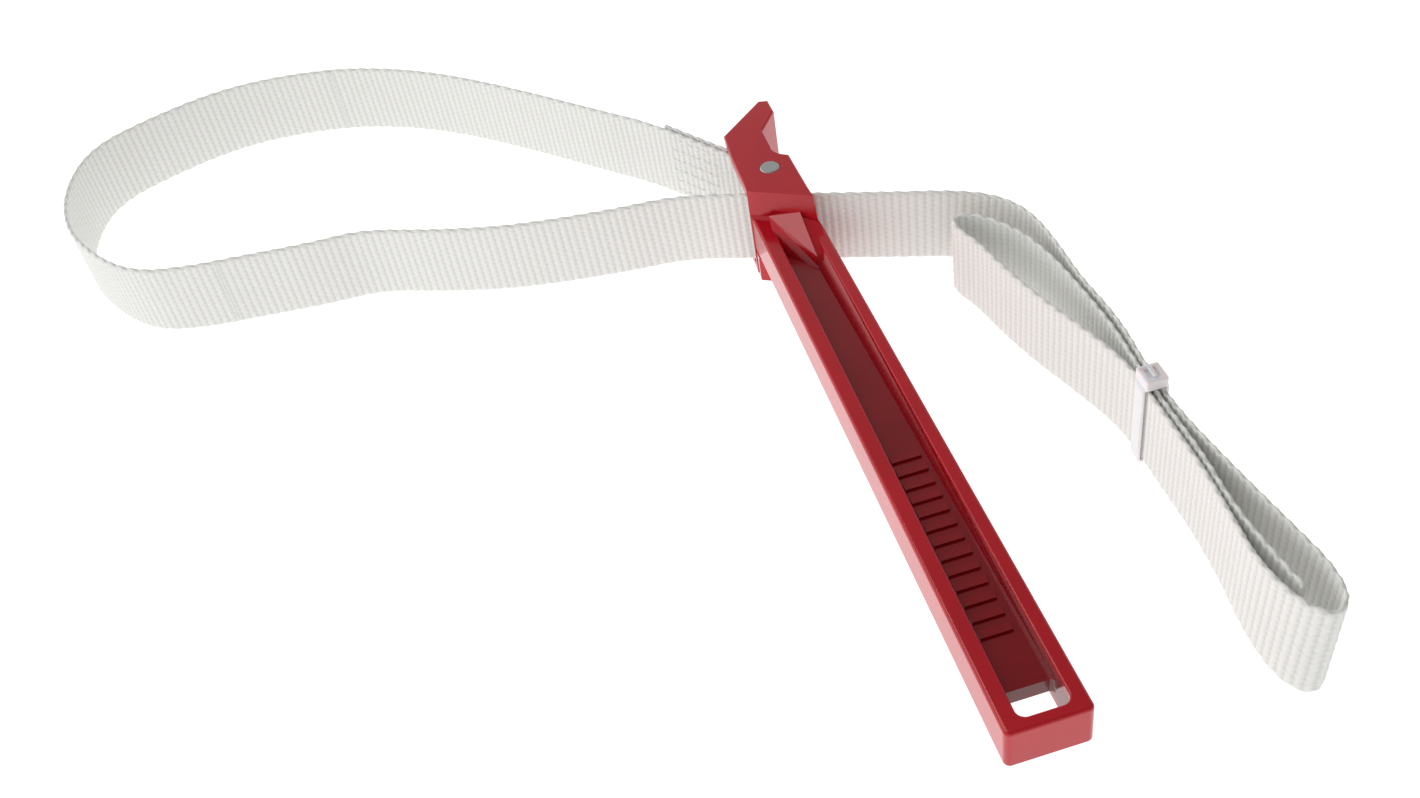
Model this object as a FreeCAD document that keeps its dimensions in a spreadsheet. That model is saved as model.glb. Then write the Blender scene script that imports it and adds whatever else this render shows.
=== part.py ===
"""Strap wrench: cast handle with a forked head, pivot pin, woven strap with a sewn eye, tail hank and cable tie.

Frame: +Z along the pivot pin, handle along -Y, strap loop towards -X, strap tail towards +X.
The origin is on the pin's axis, in the plane of the head's lower cheek. Sizes are in millimetres.
"""
import FreeCAD
import Part
import math
import os
import Sketcher
from FreeCAD import Placement, Rotation, Vector

os.makedirs("parts", exist_ok=True)
doc = FreeCAD.newDocument("strap_wrench")
sheet = doc.addObject("Spreadsheet::Sheet", "dims")

DIMENSIONS = {
    # strap
    "strap_width": 28.5,
    "strap_thickness": 1.8,
    "layer_pitch": 1.9,
    "eye_offset": 4.45,
    "eye_closes": 4.6,
    "eye_closing_radius": 3.0,
    "lap_joining_radius": 4.0,
    "lap_starts": 8.5,
    "lap_length": 53.0,
    "lap_overrun": 6.0,
    "lap_bearing": 124.0,
    "hank_lift": 1.3,
    "hank_slack": 0.2,
    "thread": 0.35,
    "stitch_length": 2.6,
    "stitch_pitch": 3.9,
    "stitch_row_pitch": 4.6,
    "stitch_margin": 2.6,
    "stitch_start": 26.5,
    # head
    "cheek": 3.45,
    "slot_clearance": 0.25,
    "head_left": -11.0,
    "head_right": 8.7,
    "head_taper": 0.5,
    "head_waist": 12.0,
    "back_left": -9.6,
    "back_right": -21.5,
    "lower_back_shift": 4.0,
    "shoulder_run_left": 0.3,
    "shoulder_run_right": 2.6,
    "cove": 1.2,
    "nose_left_x": -9.5,
    "nose_left_y": 24.7,
    "nose_tip_x": 7.7,
    "nose_tip_y": 39.9,
    "nose_blunt": 1.1,
    "nose_right_x": 11.0,
    "hook_low_y": 31.5,
    "belly_heel_x": 6.6,
    "belly_heel_y": 20.8,
    "belly_side_x": 12.4,
    "belly_side_y": 33.8,
    "nose_root_x": -2.0,
    "nose_root_y": 27.0,
    "mouth_x": 4.0,
    "mouth_top": 21.9,
    "mouth_curve_run": 2.5,
    "mouth_curve_top": 12.0,
    "mouth_curve_low": 5.6,
    "mouth_heel": 4.4,
    "mouth_radius": 6.5,
    # strap slot through the head
    "slot_reach": 20.0,
    "slot_back_left": -4.7,
    "slot_back_right": -22.9,
    "slot_front": 34.0,
    "slot_right_x": 12.0,
    "slot_right_y": 30.0,
    "slot_heel_x": 4.6,
    "slot_heel_y": 19.6,
    "slot_nose_x": -7.4,
    "slot_nose_y": 25.2,
    "slot_left_x": -14.0,
    # handle
    "handle_depth": 14.5,
    "handle_length": 229.0,
    "butt_corner": 1.8,
    "beam_edge": 1.0,
    "head_edge": 0.7,
    "recess_edge": 0.5,
    "recess_corner": 2.6,
    "hole_corner": 1.3,
    "beam_start_left": -6.0,
    "beam_start_right": -24.0,
    "beam_under_head": -16.0,
    "beam_left_head": -10.7,
    "beam_right_head": 10.2,
    "beam_left_butt": -11.2,
    "beam_right_butt": 12.5,
    "rail_left": 5.0,
    "rail_right_head": 3.8,
    "rail_right_butt": 4.5,
    "facet_run": 4.2,
    "facet_overlap": 0.3,
    "recess_depth": 4.7,
    "recess_start_left": -15.8,
    "recess_start_right": -23.4,
    "ramp_left": -6.8,
    "ramp_right": 3.8,
    "ramp_tip_x": -6.0,
    "ramp_tip_y": -15.9,
    "ramp_tip_rise": 3.1,
    "ramp_crest": -20.2,
    "ramp_crest_rise": 4.6,
    "ramp_knee": -37.2,
    "ramp_knee_rise": 3.0,
    "ramp_foot_left": -26.9,
    "ramp_foot_right": -40.4,
    "ramp_back_left": -9.0,
    "ramp_back_right": -17.0,
    "gusset_left": 3.5,
    "gusset_width": 5.5,
    "gusset_foot": -40.5,
    "gusset_knee": -36.5,
    "gusset_knee_rise": 2.9,
    "gusset_crest": -20.0,
    "gusset_crest_rise": 2.6,
    "end_border": 3.6,
    "hole_length": 10.8,
    "rib_start": -129.0,
    "rib_span": 66.0,
    "rib_width": 2.6,
    "rib_height": 0.8,
    "rib_left": -4.7,
    "rib_right": 4.3,
    # pin
    "pin_radius": 3.45,
    "pin_running_gap": 0.1,
    "pin_proud": 0.25,
    "pin_chamfer": 0.4,
    # cable tie
    "tie_x": 71.7,
    "tie_y": -138.3,
    "tie_gap": 0.1,
    "tie_width": 4.8,
    "tie_thickness": 1.1,
    "tie_head_inset": 0.6,
    "tie_head_length": 6.8,
    "tie_head_margin": 1.2,
    "tie_head_height": 3.6,
    "tie_head_sink": 0.2,
}
RIB_COUNT = 13
STITCH_ROWS = 6
STITCHES_IN_ROW = 6

for row, (alias, value) in enumerate(DIMENSIONS.items(), start=1):
    sheet.set(f"A{row}", alias)
    sheet.set(f"B{row}", str(value))
    sheet.setAlias(f"B{row}", alias)
doc.recompute()


class Size:
    """A length and the spreadsheet expression that gives it."""

    def __init__(self, value, expression):
        self.value = value
        self.expression = expression

    def __add__(self, other):
        return Size(self.value + other.value, f"({self.expression} + {other.expression})")

    def __sub__(self, other):
        return Size(self.value - other.value, f"({self.expression} - {other.expression})")

    def __neg__(self):
        return Size(-self.value, f"(0 - {self.expression})")

    def times(self, factor):
        return Size(self.value * factor, f"({self.expression} * {factor})")


def dim(alias):
    return Size(float(sheet.get(alias)), f"dims.{alias}")


STRAP_WIDTH = dim("strap_width")
CHEEK = dim("cheek")
SLOT = STRAP_WIDTH + dim("slot_clearance").times(2)
HEAD = SLOT + CHEEK.times(2)
BEAM = dim("handle_depth")
BEAM_LOW = (HEAD - BEAM).times(0.5)
BEAM_HIGH = BEAM_LOW + BEAM
RECESS = dim("recess_depth")
STRAP_LOW = CHEEK + dim("slot_clearance")
LIFT = dim("hank_lift")

# The strap's centre line after its sewn lap: round the loop, through the slot, along the tail and
# back and forth in the hank to the free end.
STRAP_ROUTE = [
    (-45, 66),
    (-72, 97),
    (-100, 125),
    (-128, 144),
    (-155, 153),
    (-185, 156),
    (-215, 148),
    (-238, 137),
    (-247, 113),
    (-246, 88),
    (-236, 66),
    (-222, 49),
    (-204, 43),
    (-180, 40),
    (-158, 37),
    (-140, 36.5),
    (-117, 25.5),
    (-90, 15.5),
    (-55, 8),
    (-33, 4.5),
    (-11, -5.5),
    (34, -25.6),
    (54, -33),
    (66, -40.5),
    (72.5, -52),
    (73.6, -70),
    (73.2, -86),
    (74.8, -102),
    (75, -115),
    (73.8, -128),
    (73.8, -149),
    (75.6, -164),
    (78.2, -182),
    (81.2, -200),
    (83.2, -213),
    (82, -223),
    (76.5, -227.5),
    (70.5, -221),
    (67.2, -206),
    (68.4, -190),
    (69.8, -172),
    (69.6, -149),
    (69.7, -128),
    (64.5, -109),
    (58, -90),
    (53.6, -72),
    (51.2, -58),
    (47.6, -48.5),
    (49, -43),
    (55.5, -44.5),
    (61.5, -52),
    (66.3, -61),
    (69.3, -73),
    (70.9, -87),
    (72.1, -103),
    (72.5, -115),
    (71.7, -128),
    (71.7, -150),
    (72.1, -166),
    (70.7, -186),
    (71.9, -203),
    (73.7, -216.5),
]

# Each node of the strap: its name, the number of the run that it ends half way along, and the
# height of its lower edge.
STRAP_NODES = [
    ("strap_sewn_lap", 0, STRAP_LOW),
    ("strap_eye", 4, STRAP_LOW),
    ("strap_fixed_strand", 9, STRAP_LOW),
    ("strap_loop_bend", 18, LIFT),
    ("strap_return_strand", 24, LIFT),
    ("strap_slot_run", 27, STRAP_LOW),
    ("strap_tail_run", 35, LIFT),
    ("strap_hank_end", 46, LIFT),
    ("strap_hank_fold", 62, LIFT),
    ("strap_free_end", None, LIFT),
]


def origin_plane(body, role):
    for feature in body.Origin.OriginFeatures:
        if feature.Role == role:
            return feature
    raise LookupError(role)


def sketch_on(body, name, height=None, role="XY_Plane"):
    """An empty sketch on one of the body's own planes, raised by height along its normal."""
    sketch = body.newObject("Sketcher::SketchObject", name)
    sketch.AttachmentSupport = [(origin_plane(body, role), "")]
    sketch.MapMode = "FlatFace"
    if height is not None:
        sketch.AttachmentOffset = Placement(Vector(0, 0, height.value), Rotation())
        sketch.setExpression("AttachmentOffset.Base.z", height.expression)
    return sketch


def via_point(start, end, radius, bulge_right):
    """A point half way along the arc of this radius that bulges to one side of start to end."""
    middle = (start + end) * 0.5
    chord = end - start
    sagitta = radius - math.sqrt(radius**2 - (chord.Length / 2) ** 2)
    side = Vector(chord.y, -chord.x, 0).normalize() * (1 if bulge_right else -1)
    return middle + side * sagitta


def outline(sketch, corners, arcs=None):
    """A closed outline through corners, each an (x, y) pair of sizes. arcs gives, by the number of the
    corner that a span starts at, its radius and whether it bulges to the right of its direction."""
    arcs = arcs or {}
    points = [Vector(x.value, y.value, 0) for x, y in corners]
    ends = []
    for number, start in enumerate(points):
        end = points[(number + 1) % len(points)]
        if number in arcs:
            radius, bulge_right = arcs[number]
            curve = Part.Arc(start, via_point(start, end, radius.value, bulge_right), end)
            index = sketch.addGeometry(curve, False)
            begins_at_start = sketch.getPoint(index, 1).distanceToPoint(start) < 1e-6
            ends.append((index, 1, 2) if begins_at_start else (index, 2, 1))
        else:
            index = sketch.addGeometry(Part.LineSegment(start, end), False)
            ends.append((index, 1, 2))
    for number, (index, _, last) in enumerate(ends):
        following, first, _ = ends[(number + 1) % len(ends)]
        sketch.addConstraint(Sketcher.Constraint("Coincident", index, last, following, first))
    for (index, first, _), (x, y) in zip(ends, corners):
        for kind, size in (("DistanceX", x), ("DistanceY", y)):
            number = sketch.addConstraint(Sketcher.Constraint(kind, -1, 1, index, first, size.value))
            sketch.setExpression(f"Constraints[{number}]", size.expression)
    for number, (radius, _) in arcs.items():
        made = sketch.addConstraint(Sketcher.Constraint("Radius", ends[number][0], radius.value))
        sketch.setExpression(f"Constraints[{made}]", radius.expression)
    return sketch


def circle(sketch, radius):
    """A circle of this radius about the sketch's origin."""
    index = sketch.addGeometry(Part.Circle(Vector(0, 0, 0), Vector(0, 0, 1), radius.value), False)
    sketch.addConstraint(Sketcher.Constraint("Coincident", index, 3, -1, 1))
    number = sketch.addConstraint(Sketcher.Constraint("Radius", index, radius.value))
    sketch.setExpression(f"Constraints[{number}]", radius.expression)


def pad(body, name, sketch, length, symmetric=False):
    feature = body.newObject("PartDesign::Pad", name)
    feature.Profile = sketch
    feature.Length = length.value
    feature.setExpression("Length", length.expression)
    feature.Midplane = symmetric
    doc.recompute()
    return feature


def pocket(body, name, sketch, depth, upwards):
    """A pocket that has to take some volume away."""
    before = body.Shape.Volume
    feature = body.newObject("PartDesign::Pocket", name)
    feature.Profile = sketch
    feature.Length = depth.value
    feature.setExpression("Length", depth.expression)
    feature.Reversed = upwards
    doc.recompute()
    if not body.Shape.Volume < before - 1:
        raise RuntimeError(f"{name} cut nothing")
    return feature


def edges_where(shape, wanted):
    return [f"Edge{i}" for i, edge in enumerate(shape.Edges, start=1) if wanted(edge)]


def fillet(body, name, radius, wanted):
    """Rounds the edges of the body's last feature that wanted picks out."""
    base = body.Tip
    names = edges_where(base.Shape, wanted)
    feature = body.newObject("PartDesign::Fillet", name)
    feature.Base = (base, names)
    feature.Radius = radius.value
    feature.setExpression("Radius", radius.expression)
    doc.recompute()
    if not names or "Invalid" in feature.State:
        raise RuntimeError(f"{name} failed on {len(names)} edges")
    return feature


def flat(edge):
    return edge.BoundBox.ZLength < 1e-4


def level(edge, height):
    return flat(edge) and abs(edge.BoundBox.ZMin - height) < 1e-4


def loft(body, name, sections, ruled=True):
    feature = body.newObject("PartDesign::AdditiveLoft", name)
    feature.Profile = sections[0]
    feature.Sections = sections[1:]
    feature.Ruled = ruled
    doc.recompute()
    return feature


def apex(body, name, place, height):
    """A sketch that holds one point, for a loft to end in."""
    sketch = sketch_on(body, name, height)
    index = sketch.addGeometry(Part.Point(Vector(place[0].value, place[1].value, 0)), False)
    for kind, size in zip(("DistanceX", "DistanceY"), place):
        number = sketch.addConstraint(Sketcher.Constraint(kind, -1, 1, index, 1, size.value))
        sketch.setExpression(f"Constraints[{number}]", size.expression)
    return sketch


def runs_along_handle(edge):
    return edge.BoundBox.YLength > dim("handle_length").value / 2


def inside_rails(edge):
    """True for an edge along the inner side of a rail."""
    box = edge.BoundBox
    left = dim("beam_left_butt") + dim("rail_left").times(0.5)
    right = dim("beam_right_butt") - dim("rail_right_butt").times(0.5)
    return runs_along_handle(edge) and box.XMin > left.value and box.XMax < right.value


def head_corners():
    """The cheek's outline, counter-clockwise from the heel of the back edge."""
    return [
        (dim("head_right"), dim("back_right")),
        (dim("head_right") - dim("head_taper"), dim("mouth_heel")),
        (dim("mouth_x") + dim("mouth_curve_run"), dim("mouth_curve_low")),
        (dim("mouth_x"), dim("mouth_curve_top")),
        (dim("mouth_x"), dim("mouth_top")),
        (dim("nose_right_x"), dim("hook_low_y")),
        (dim("nose_right_x"), dim("nose_tip_y") - dim("nose_blunt")),
        (dim("nose_tip_x"), dim("nose_tip_y")),
        (dim("nose_left_x"), dim("nose_left_y")),
        (dim("head_left") + dim("head_taper"), dim("head_waist")),
        (dim("head_left"), dim("back_left")),
    ]


def add_beam(body):
    """The handle's outer block, with rounded corners at the butt and rounded long edges."""
    butt = -dim("handle_length")
    beam = sketch_on(body, "beam_outline", BEAM_LOW)
    outline(
        beam,
        [
            (dim("beam_left_head"), dim("beam_start_left")),
            (dim("beam_left_butt"), butt),
            (dim("beam_right_butt"), butt),
            (dim("beam_right_head"), dim("beam_start_right")),
            (dim("head_right") - dim("head_taper"), dim("beam_under_head")),
            (dim("head_right") - dim("head_taper"), dim("beam_start_left")),
        ],
    )
    pad(body, "beam", beam, BEAM)
    fillet(
        body,
        "butt_corners",
        dim("butt_corner"),
        lambda edge: edge.BoundBox.YMax < butt.value + 0.1 and not flat(edge),
    )
    fillet(
        body,
        "beam_edges",
        dim("beam_edge"),
        lambda edge: flat(edge)
        and (edge.BoundBox.YMax < butt.value + dim("end_border").value or runs_along_handle(edge)),
    )


def add_head(body):
    head = sketch_on(body, "head_outline")
    outline(head, head_corners(), {2: (dim("mouth_radius"), False)})
    pad(body, "head", head, HEAD)
    fillet(
        body,
        "head_edges",
        dim("head_edge"),
        lambda edge: (level(edge, HEAD.value) or level(edge, 0.0)) and edge.BoundBox.YMax > 0,
    )


def x_at(height, start, end):
    """The x where the line from start to end, each an (x, y) pair of sizes, reaches this y."""
    share = (height.value - start[1].value) / (end[1].value - start[1].value)
    return start[0] + (end[0] - start[0]).times(share)


def cut_recesses(body):
    """A shallow recess between the rails on both faces, and the hanging hole through the web."""
    butt = -dim("handle_length")
    inner_end = butt + dim("end_border")
    left_head = (dim("beam_left_head") + dim("rail_left"), dim("recess_start_left"))
    left_butt = (dim("beam_left_butt") + dim("rail_left"), inner_end)
    right_butt = (dim("beam_right_butt") - dim("rail_right_butt"), inner_end)
    right_head = (dim("beam_right_head") - dim("rail_right_head"), dim("recess_start_right"))
    for side, face, upwards in (("top", BEAM_HIGH, False), ("bottom", BEAM_LOW, True)):
        recess = sketch_on(body, f"{side}_recess_outline", face)
        outline(recess, [left_head, left_butt, right_butt, right_head])
        pocket(body, f"{side}_recess", recess, RECESS, upwards)

    hole = sketch_on(body, "hang_hole_outline", BEAM_HIGH)
    far = inner_end + dim("hole_length")
    left_far = (x_at(far, left_butt, left_head), far)
    right_far = (x_at(far, right_butt, right_head), far)
    outline(hole, [left_butt, right_butt, right_far, left_far])
    pocket(body, "hang_hole", hole, BEAM, upwards=False)
    for name, radius, end in (
        ("recess_corners", dim("recess_corner"), inner_end),
        ("hole_corners", dim("hole_corner"), far),
    ):
        fillet(
            body,
            name,
            radius,
            lambda edge: not flat(edge)
            and edge.BoundBox.YLength < 0.1
            and abs(edge.BoundBox.YMin - end.value) < 0.1
            and edge.BoundBox.XLength < 0.1,
        )
    for side, face in (("top", BEAM_HIGH), ("bottom", BEAM_LOW)):
        fillet(
            body,
            f"{side}_recess_edges",
            dim("recess_edge"),
            lambda edge: level(edge, face.value) and inside_rails(edge),
        )


def add_wall_facet(body, side, face, floor):
    """A facet along the foot of a recess's right wall, widest at the head, built as a pyramid that
    reaches a little way into the rail."""
    start = dim("recess_start_right")
    inside = dim("beam_right_head") - dim("rail_right_head") + dim("facet_overlap").times(2)
    foot = inside - dim("facet_run")
    vanishing = dim("beam_right_butt") - dim("rail_right_butt") + dim("facet_overlap")
    base = sketch_on(body, f"{side}_wall_facet_foot", floor)
    outline(
        base,
        [(foot, start), (vanishing, -dim("handle_length") + dim("end_border")), (inside, start)],
    )
    loft(body, f"{side}_wall_facet", [base, apex(body, f"{side}_wall_facet_tip", (inside, start), face)])


def add_ramp(body, side, face, floor, away):
    """Two slanted facets at the head end of a recess, built as pyramids that share one tip, and the
    gusset between them and the right rail.

    away turns a rise above the face or the floor into a height for this side."""
    tip = apex(
        body,
        f"{side}_ramp_tip",
        (dim("ramp_tip_x"), dim("ramp_tip_y")),
        face + dim("ramp_tip_rise").times(away),
    )
    base = sketch_on(body, f"{side}_ramp_base", floor)
    outline(
        base,
        [
            (dim("ramp_left"), dim("ramp_back_left")),
            (dim("ramp_left"), dim("ramp_foot_left")),
            (dim("ramp_right"), dim("ramp_foot_right")),
            (dim("ramp_right"), dim("ramp_back_right")),
        ],
    )
    loft(body, f"{side}_ramp_floor", [base, tip])
    crest = face + dim("ramp_crest_rise").times(away)
    flank = sketch_on(body, f"{side}_ramp_flank", dim("ramp_right"), "YZ_Plane")
    outline(
        flank,
        [
            (dim("ramp_back_right"), floor),
            (dim("ramp_foot_right"), floor),
            (dim("ramp_knee"), floor + dim("ramp_knee_rise").times(away)),
            (dim("ramp_crest"), crest),
            (dim("ramp_back_right"), crest),
        ],
    )
    loft(body, f"{side}_ramp_crest", [flank, tip])
    gusset_crest = face + dim("gusset_crest_rise").times(away)
    gusset = sketch_on(body, f"{side}_gusset_outline", dim("gusset_left"), "YZ_Plane")
    outline(
        gusset,
        [
            (dim("ramp_back_right"), floor),
            (dim("gusset_foot"), floor),
            (dim("gusset_knee"), floor + dim("gusset_knee_rise").times(away)),
            (dim("gusset_crest"), gusset_crest),
            (dim("ramp_back_right"), gusset_crest),
        ],
    )
    pad(body, f"{side}_gusset", gusset, dim("gusset_width"))


def add_shoulder(body, side, face, cheek, back_shift, away):
    """The step up from the rails to the back of the cheek, with a small cove along its foot."""
    cove = dim("cove")
    sections = []
    for place, height, left, right in (
        ("foot", face, dim("shoulder_run_left") + cove, dim("shoulder_run_right") + cove),
        ("cove", face + cove.times(away), dim("shoulder_run_left"), dim("shoulder_run_right")),
        ("ridge", cheek, Size(0.0, "0"), Size(0.0, "0")),
    ):
        section = sketch_on(body, f"{side}_shoulder_{place}", height)
        outline(
            section,
            [
                (dim("head_left") + dim("head_taper"), dim("beam_start_left")),
                (dim("head_left"), dim("back_left") - back_shift - left),
                (dim("head_right"), dim("back_right") - back_shift - right),
                (dim("head_right") - dim("head_taper"), dim("beam_under_head")),
            ],
        )
        sections.append(section)
    loft(body, f"{side}_shoulder", sections)


def cut_slot(body):
    """The slot that the strap runs through, open towards both sides and closed by the hook."""
    slot = sketch_on(body, "slot_outline", CHEEK)
    outline(
        slot,
        [
            (-dim("slot_reach"), dim("slot_back_left")),
            (dim("slot_reach"), dim("slot_back_right")),
            (dim("slot_reach"), dim("slot_front")),
            (dim("slot_right_x"), dim("slot_right_y")),
            (dim("slot_heel_x"), dim("slot_heel_y")),
            (dim("slot_nose_x"), dim("slot_nose_y")),
            (dim("slot_left_x"), dim("slot_front")),
            (-dim("slot_reach"), dim("slot_front")),
        ],
    )
    pocket(body, "slot", slot, SLOT, upwards=True)


def add_nose_belly(body):
    """The hook's inner face, which bulges out half way between the cheeks."""
    cheek_side = [
        (dim("mouth_x"), dim("mouth_top")),
        (dim("nose_right_x"), dim("hook_low_y")),
    ]
    belly_side = [
        (dim("belly_heel_x"), dim("belly_heel_y")),
        (dim("belly_side_x"), dim("belly_side_y")),
    ]
    rest = [
        (dim("nose_right_x"), dim("nose_tip_y") - dim("nose_blunt")),
        (dim("nose_tip_x"), dim("nose_tip_y")),
        (dim("nose_root_x"), dim("nose_root_y")),
    ]
    sections = []
    for place, height, inner_side in (
        ("low", dim("head_edge"), cheek_side),
        ("middle", HEAD.times(0.5), belly_side),
        ("high", HEAD - dim("head_edge"), cheek_side),
    ):
        section = sketch_on(body, f"nose_{place}_outline", height)
        outline(section, inner_side + rest)
        sections.append(section)
    loft(body, "nose_belly", sections, ruled=False)


def add_ribs(body):
    """Plain crosswise ribs on the floor of the upper recess."""
    rib = sketch_on(body, "grip_rib_outline", BEAM_HIGH - RECESS)
    left, right = dim("rib_left"), dim("rib_right")
    near = dim("rib_start") - dim("rib_width")
    outline(rib, [(left, near), (right, near), (right, dim("rib_start")), (left, dim("rib_start"))])
    first_rib = pad(body, "grip_rib", rib, dim("rib_height"))
    ribs = body.newObject("PartDesign::LinearPattern", "grip_ribs")
    ribs.Originals = [first_rib]
    ribs.Direction = (rib, ["V_Axis"])
    ribs.Reversed = True
    ribs.Length = dim("rib_span").value
    ribs.setExpression("Length", "dims.rib_span")
    ribs.Occurrences = RIB_COUNT
    body.Tip = ribs
    doc.recompute()


def make_handle():
    body = doc.addObject("PartDesign::Body", "handle_casting")
    add_beam(body)
    add_head(body)
    cut_recesses(body)
    bottom = Size(0.0, "0")
    for side, face, floor, cheek, back_shift, away in (
        ("top", BEAM_HIGH, BEAM_HIGH - RECESS, HEAD, bottom, 1),
        ("bottom", BEAM_LOW, BEAM_LOW + RECESS, bottom, dim("lower_back_shift"), -1),
    ):
        add_shoulder(body, side, face, cheek, back_shift, away)
        add_wall_facet(body, side, face, floor)
        add_ramp(body, side, face, floor, away)
    cut_slot(body)
    add_nose_belly(body)
    bore = sketch_on(body, "pin_bore_outline", HEAD)
    circle(bore, dim("pin_radius"))
    pocket(body, "pin_bore", bore, HEAD, upwards=False)
    add_ribs(body)
    return body


def make_pin():
    body = doc.addObject("PartDesign::Body", "pivot_pin")
    end = sketch_on(body, "pin_outline")
    circle(end, dim("pin_radius"))
    shank = pad(body, "shank", end, HEAD + dim("pin_proud"))
    chamfer = body.newObject("PartDesign::Chamfer", "end_chamfers")
    chamfer.Base = (shank, edges_where(shank.Shape, lambda edge: edge.isClosed()))
    chamfer.Size = dim("pin_chamfer").value
    chamfer.setExpression("Size", "dims.pin_chamfer")
    doc.recompute()
    return body


def rounded(points, tight):
    """The runs and tangent arcs along points: a list of (start, end, centre or None, radius, turn).

    tight gives, by point number, a radius that replaces the largest one that the runs allow."""
    pieces = []
    at = points[0]
    for number in range(1, len(points) - 1):
        before, here, after = points[number - 1 : number + 2]
        arriving, leaving = here - before, after - here
        half = arriving.getAngle(leaving) / 2
        turn = 1 if arriving.cross(leaving).z > 0 else -1
        radius = tight.get(number, 0.45 * min(arriving.Length, leaving.Length) / math.tan(half))
        cut = radius * math.tan(half)
        start = here - arriving.normalize() * cut
        end = here + leaving.normalize() * cut
        side = Vector(-arriving.y, arriving.x, 0) * turn
        pieces.append((at, start, None, 0.0, 0))
        pieces.append((start, end, start + side * radius, radius, turn))
        at = end
    pieces.append((at, points[-1], None, 0.0, 0))
    return pieces


def edge_beside(piece, offset):
    """The edge that runs beside one run or arc, offset to its left."""
    start, end, centre, radius, turn = piece
    if centre is None:
        along = (end - start).normalize()
        shift = Vector(-along.y, along.x, 0) * offset
        return Part.LineSegment(start + shift, end + shift).toShape()
    scale = (radius - turn * offset) / radius
    middle = ((start + end) * 0.5 - centre).normalize() * radius
    first, via, last = (centre + arm * scale for arm in (start - centre, middle, end - centre))
    return Part.Arc(first, via, last).toShape()


def length_of(pieces):
    total = 0.0
    for start, end, centre, radius, _ in pieces:
        arc = centre is not None
        total += radius * (start - centre).getAngle(end - centre) if arc else (end - start).Length
    return total


def ribbon(name, pieces, low):
    """A length of strap that stands on edge along runs and arcs, its lower edge at height low."""
    half = dim("strap_thickness").value / 2
    left = [edge_beside(piece, half) for piece in pieces]
    right = [edge_beside(piece, -half) for piece in pieces]
    caps = [
        Part.LineSegment(left[0].firstVertex(True).Point, right[0].firstVertex(True).Point).toShape(),
        Part.LineSegment(left[-1].lastVertex(True).Point, right[-1].lastVertex(True).Point).toShape(),
    ]
    outline_wire = Part.Wire(Part.__sortEdges__(left + right + caps))
    solid = Part.Face(outline_wire).extrude(Vector(0, 0, STRAP_WIDTH.value))
    feature = doc.addObject("Part::Feature", name)
    feature.Shape = solid
    feature.Placement = Placement(Vector(0, 0, low.value), Rotation())
    expected = 2 * half * STRAP_WIDTH.value * length_of(pieces)
    if abs(solid.Volume - expected) > 0.001 * expected:
        raise RuntimeError(f"{name} has the wrong volume")
    return feature


def beside_pin(across, along):
    """A point given across and along the sewn lap's direction, measured from the pin's axis."""
    turn = math.radians(dim("lap_bearing").value)
    return (
        across * math.sin(turn) + along * math.cos(turn),
        -across * math.cos(turn) + along * math.sin(turn),
    )


def strap_route():
    """The strap's centre line from the end of its sewn lap to its free end, and its tight radii."""
    outer = dim("eye_offset").value
    inner = outer - dim("layer_pitch").value
    lap_end = dim("lap_length").value
    around_pin = [
        (outer, lap_end),
        (outer, -outer),
        (-outer, -outer),
        (-outer, dim("eye_closes").value),
        (inner, dim("lap_starts").value),
        (inner, lap_end + dim("lap_overrun").value),
    ]
    tight = {
        1: outer,
        2: outer,
        3: dim("eye_closing_radius").value,
        4: dim("lap_joining_radius").value,
    }
    return [beside_pin(*point) for point in around_pin] + STRAP_ROUTE, tight


def make_strap():
    """The one woven strap, cut half way along some of its runs into nodes that stay rigid, and a bend."""
    route, tight = strap_route()
    pieces = rounded([Vector(x, y, 0) for x, y in route], tight)
    print("strap length", round(length_of(pieces), 1))
    print("radii", [round(piece[3], 1) for piece in pieces if piece[2] is not None])
    solids = []
    waiting = []
    run = 0
    nodes = list(STRAP_NODES)
    for piece in pieces:
        start, end, centre, _, _ = piece
        if centre is None and run == nodes[0][1]:
            middle = (start + end) * 0.5
            waiting.append((start, middle, None, 0.0, 0))
            solids.append(ribbon(nodes[0][0], waiting, nodes[0][2]))
            nodes.pop(0)
            waiting = [(middle, end, None, 0.0, 0)]
        else:
            waiting.append(piece)
        run += centre is None
    solids.append(ribbon(nodes[0][0], waiting, nodes[0][2]))
    return solids


def make_stitching():
    """Lengths of thread on both faces of the sewn lap, in rows across the strap."""
    turn = dim("lap_bearing").value
    size = (dim("stitch_length").value, dim("thread").value, dim("thread").value)
    faces = (
        dim("eye_offset").value + dim("strap_thickness").value / 2,
        dim("eye_offset").value - dim("layer_pitch").value - dim("strap_thickness").value / 2 - size[1],
    )
    stitches = []
    for row in range(STITCH_ROWS):
        height = STRAP_LOW.value + dim("stitch_margin").value + row * dim("stitch_row_pitch").value
        for number in range(STITCHES_IN_ROW):
            along = dim("stitch_start").value + number * dim("stitch_pitch").value
            for face in faces:
                stitch = Part.makeBox(*size, Vector(along, -face - size[1], height))
                stitch.rotate(Vector(0, 0, 0), Vector(0, 0, 1), turn)
                stitches.append(stitch)
    feature = doc.addObject("Part::Feature", "eye_stitching")
    feature.Shape = Part.makeCompound(stitches)
    return feature


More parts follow.
